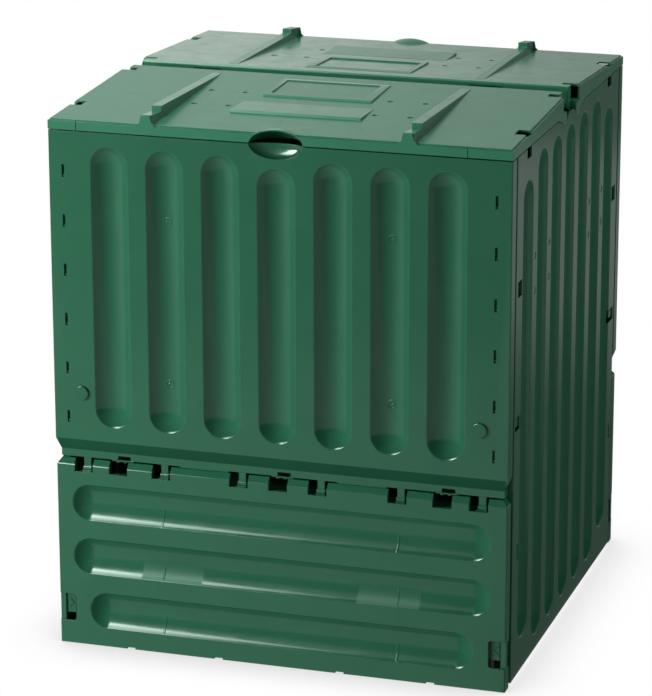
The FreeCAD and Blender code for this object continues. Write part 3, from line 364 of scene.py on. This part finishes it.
def mark_sharp(mesh):
    """Keep corners crisp, and the shallow bevels between wide flat faces as well."""
    joined = bmesh.new()
    joined.from_mesh(mesh)
    bmesh.ops.remove_doubles(joined, verts=joined.verts, dist=SAME_POINT)
    joined.faces.index_update()
    cache = {}
    for edge in joined.edges:
        angle = edge.calc_face_angle(math.pi) if len(edge.link_faces) == 2 else math.pi
        bevel = angle > BEVEL_ANGLE and all(flat_width(face, cache) > WIDE_FACE for face in edge.link_faces)
        edge.smooth = not (angle > SHARP_ANGLE or bevel)
    for face in joined.faces:
        face.smooth = True
    joined.to_mesh(mesh)
    joined.free()


def smooth_copy(name):
    """The shown piece: it takes the node's place, slot and body."""
    mesh = nodes[name].data.copy()
    mesh.name = name + "_skin"
    mesh.materials.clear()
    mesh.materials.append(MARKED_PIECES.get(name, FINISH[slot_of_node[name]]))
    mark_sharp(mesh)
    piece = bpy.data.objects.new(name + "_moulding", mesh)
    bpy.context.scene.collection.objects.link(piece)
    weighted = piece.modifiers.new("flat_faces_stay_flat", "WEIGHTED_NORMAL")
    weighted.mode = "FACE_AREA"
    weighted.weight = 100
    weighted.keep_sharp = True
    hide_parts(name)
    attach(piece, body_of_node[name])
    return piece


mouldings = {name: smooth_copy(name) for name in sorted(nodes)}


# The floor: white for the camera, and for light and for reflections a dimmer studio ground that glows with
# painted light and a painted shadow of the bin

FLOOR_HALF = 30.0
FOOTPRINT = 0.335
CONTACT_REACH = 0.12
CONTACT_OPEN = (0.35, 1.0)
CONTACT_SHADE = 0.72
INSIDE_REACH = 0.8
INSIDE_LIGHT = 0.3
GROUND_COLOUR = linear("#f2efe8")

FLOOR_BOUNCE = 0.7
SHADOW_SHARE = 0.4
SHADOW_START = (0.3, 0.4)
SHADOW_END = (0.35, 1.3)

FRONT_SHEEN = 0.41
FAR_SHEEN = 0.1
FRONT_SPAN = (-2.4, -1.5)
SHADOW_SHEEN = 0.07
BEHIND_SHEEN = 0.27
BEHIND_SPAN = (0.9, 2.0)
BACKDROP_FOOT = (2.9, 3.4)
BACKDROP_FOOT_SHARE = 0.35
BESIDE_SPAN = (-0.2, 0.2)
RIGHT_EDGE = (0.33, 0.36)
RIGHT_SPAN = (-0.5, -0.35)


def openness(tree, reach):
    """How much open sky a point sees within a reach."""
    return add(tree, "ShaderNodeAmbientOcclusion", {"Distance": reach}, samples=8).outputs["AO"]


def seen_floor(tree, outside):
    """White with a faint shadow round the bin, and inside the bin as dark as its walls make it."""
    shade = curve_step(tree, openness(tree, CONTACT_REACH), *CONTACT_OPEN, CONTACT_SHADE, 1.0)
    white = add(tree, "ShaderNodeEmission", {"Color": WHITE, "Strength": shade}).outputs[0]
    inside = openness(tree, INSIDE_REACH)
    dim = product(tree, product(tree, inside, inside), INSIDE_LIGHT)
    ground = add(tree, "ShaderNodeEmission", {"Color": GROUND_COLOUR, "Strength": dim}).outputs[0]
    return add(tree, "ShaderNodeMixShader", {0: outside, 1: ground, 2: white}).outputs[0]


def floor_bounce(tree, across, along):
    """Painted light the floor gives off for matt surfaces: less in a painted shadow of the bin, on its right
    and behind it.
    """
    lee = combine(tree, "MAXIMUM", across, along)
    # Painted shadow: a fixed patch by position, not a shadow the lamps cast
    shadow = product(tree, curve_step(tree, lee, *SHADOW_START), curve_fall(tree, lee, *SHADOW_END))
    return curve_step(tree, shadow, 0.0, 1.0, FLOOR_BOUNCE, FLOOR_BOUNCE * (1 - SHADOW_SHARE))


def floor_sheen(tree, across, along):
    """Painted reflection of the floor for glossy surfaces: bright in front, dark close behind and at the
    right.
    """
    front = curve_step(tree, along, *FRONT_SPAN, FAR_SHEEN, FRONT_SHEEN)
    behind = product(tree, curve_step(tree, along, *BEHIND_SPAN, SHADOW_SHEEN, BEHIND_SHEEN),
                     curve_fall(tree, along, *BACKDROP_FOOT, BACKDROP_FOOT_SHARE))
    right = product(tree, curve_step(tree, across, *RIGHT_EDGE), curve_step(tree, along, *RIGHT_SPAN))
    beside = combine(tree, "MAXIMUM", curve_step(tree, along, *BESIDE_SPAN), right)
    return choose(tree, beside, front, behind)


def stage_floor():
    mesh = bpy.data.meshes.new("floor")
    corners = [(-FLOOR_HALF, -FLOOR_HALF, 0), (FLOOR_HALF, -FLOOR_HALF, 0),
               (FLOOR_HALF, FLOOR_HALF, 0), (-FLOOR_HALF, FLOOR_HALF, 0)]
    mesh.from_pydata(corners, [], [(0, 1, 2, 3)])
    floor = bpy.data.objects.new("floor", mesh)
    bpy.context.scene.collection.objects.link(floor)
    material, tree = new_material("pale_studio_floor")
    path = add(tree, "ShaderNodeLightPath").outputs
    place = split(tree, add(tree, "ShaderNodeTexCoord").outputs["Object"])
    across, along = place["X"], place["Y"]
    reach = combine(tree, "MAXIMUM", size_of(tree, across), size_of(tree, along))
    outside = combine(tree, "GREATER_THAN", reach, FOOTPRINT)
    light = choose(tree, path["Is Glossy Ray"], floor_bounce(tree, across, along),
                   floor_sheen(tree, across, along))
    glow = add(tree, "ShaderNodeEmission", {"Strength": product(tree, light, outside)}).outputs[0]
    seen = seen_floor(tree, outside)
    chosen = add(tree, "ShaderNodeMixShader", {0: path["Is Camera Ray"], 1: glow, 2: seen})
    add(tree, "ShaderNodeOutputMaterial", {"Surface": chosen.outputs[0]})
    mesh.materials.append(material)


# The backdrop: white for the camera, and for the bin a pale cloth behind it in a dark room

CLOTH_LIGHT = 0.36
CLOTH_FRONT = (-0.15, 0.35)
CLOTH_TOP = (0.55, 0.85)
CLOTH_TOP_SHARE = 0.25
POOL_LIGHT = 0.6
POOL_SIDE = (-0.34, -0.2)
POOL_TOP = (0.08, 0.34)
POOL_TOP_SHARE = 0.25
ROOM_LIGHT = 0.06


def studio_world():
    """A pool of light lies low on the left of the cloth."""
    world = bpy.data.worlds.new("studio")
    bpy.context.scene.world = world
    world.use_nodes = True
    tree = world.node_tree
    tree.nodes.clear()
    path = add(tree, "ShaderNodeLightPath").outputs
    way = split(tree, add(tree, "ShaderNodeTexCoord").outputs["Generated"])
    cloth = product(tree, curve_step(tree, way["Y"], *CLOTH_FRONT),
                    curve_fall(tree, way["Z"], *CLOTH_TOP, CLOTH_TOP_SHARE))
    pool = product(tree, curve_fall(tree, way["X"], *POOL_SIDE),
                   curve_fall(tree, way["Z"], *POOL_TOP, POOL_TOP_SHARE))
    lit = combine(tree, "ADD", product(tree, pool, POOL_LIGHT), CLOTH_LIGHT)
    glow = combine(tree, "ADD", product(tree, cloth, lit), ROOM_LIGHT)
    around = add(tree, "ShaderNodeBackground", {"Color": WHITE, "Strength": glow}).outputs[0]
    white = add(tree, "ShaderNodeBackground", {"Color": WHITE, "Strength": 1.0}).outputs[0]
    chosen = add(tree, "ShaderNodeMixShader", {0: path["Is Camera Ray"], 1: around, 2: white})
    add(tree, "ShaderNodeOutputWorld", {"Surface": chosen.outputs[0]})


# Lamps and camera

LAMP_AIM = Vector((0, 0, 0.4))
STRIP_COLOUR = linear("#eafff5")
STRIP_SIDE = (0.5, 0.69)
STRIP_TOP = (0.25, 1.0)
STRIP_TOP_SHARE = 0.25
GLIMMER_SIDE = (0.8, 1.0)
GLIMMER = 0.018

CAMERA_PLACE = (1.46498, -4.75202, 1.87093)
CAMERA_AZIMUTH = 17.522
CAMERA_ELEVATION = 16.493
CAMERA_ROLL = -0.087
FOCAL_PIXELS = 3328.6
PHOTO_HEIGHT = 696


def outward(azimuth, elevation):
    """A direction away from the bin; azimuth is from the front, positive towards +X."""
    turn, rise = math.radians(azimuth), math.radians(elevation)
    return Vector((math.sin(turn) * math.cos(rise), -math.cos(turn) * math.cos(rise), math.sin(rise)))


def softbox(name, azimuth, elevation, distance, width, height, power, matt=True, lit=None):
    """A soft lamp aimed at the bin: for matt shading or else for gloss, and only for the pieces in lit."""
    away = outward(azimuth, elevation)
    lamp = bpy.data.lights.new(name, "AREA")
    lamp.shape = "RECTANGLE"
    lamp.size = width
    lamp.size_y = height
    lamp.energy = power
    holder = bpy.data.objects.new(name, lamp)
    bpy.context.scene.collection.objects.link(holder)
    holder.location = LAMP_AIM + away * distance
    holder.rotation_euler = away.to_track_quat("Z", "Y").to_euler()
    holder.visible_glossy = not matt
    holder.visible_diffuse = matt
    if lit:
        receivers = bpy.data.collections.new(name + "_lit")
        for piece in lit:
            receivers.objects.link(piece)
        holder.light_linking.receiver_collection = receivers
    return lamp


def fade_strip(lamp):
    """Let a lamp fade upwards and to the right, down to a weak glimmer and then to nothing."""
    lamp.use_nodes = True
    tree = lamp.node_tree
    tree.nodes.clear()
    share = split(tree, add(tree, "ShaderNodeNewGeometry").outputs["Parametric"])
    across = curve_fall(tree, share["X"], *STRIP_SIDE)
    upwards = curve_fall(tree, share["Y"], *STRIP_TOP, STRIP_TOP_SHARE)
    glow = product(tree, product(tree, across, across), upwards)
    glow = combine(tree, "ADD", glow, curve_step(tree, share["X"], *GLIMMER_SIDE, GLIMMER, 0.0))
    shine = add(tree, "ShaderNodeEmission", {"Color": STRIP_COLOUR, "Strength": glow})
    add(tree, "ShaderNodeOutputLight", {0: shine.outputs[0]})


def camera():
    """The photograph's viewpoint, through a long lens."""
    lens = bpy.data.cameras.new("photo_camera")
    lens.sensor_width = 36.0
    lens.sensor_fit = "AUTO"
    lens.lens = FOCAL_PIXELS * lens.sensor_width / PHOTO_HEIGHT
    lens.clip_end = 100
    holder = bpy.data.objects.new("photo_camera", lens)
    bpy.context.scene.collection.objects.link(holder)
    aimed = outward(CAMERA_AZIMUTH, CAMERA_ELEVATION).to_track_quat("Z", "Y").to_matrix().to_4x4()
    rolled = Matrix.Rotation(math.radians(CAMERA_ROLL), 4, "Z")
    holder.matrix_world = Matrix.Translation(CAMERA_PLACE) @ aimed @ rolled
    bpy.context.scene.camera = holder


lids = [mouldings[name] for name in mouldings if "lid" in name]
back_pieces = [mouldings[name] for name in mouldings if name.startswith("back") and name != "back_lid"]

camera()
stage_floor()
studio_world()
softbox("key_softbox", azimuth=-45, elevation=10, distance=2.6, width=1.3, height=1.5, power=78)
softbox("lid_softbox", azimuth=-60, elevation=70, distance=2.2, width=1.2, height=1.2, power=42, lit=lids)
softbox("side_fill", azimuth=82, elevation=20, distance=3.0, width=1.2, height=1.2, power=14)
softbox("back_fill", azimuth=180, elevation=12, distance=2.6, width=1.3, height=1.5, power=48,
        lit=back_pieces)
fade_strip(softbox("high_softbox", azimuth=-38, elevation=42, distance=3.45, width=2.9, height=1.95,
                   power=620, matt=False))
bpy.context.scene.view_settings.view_transform = "Standard"
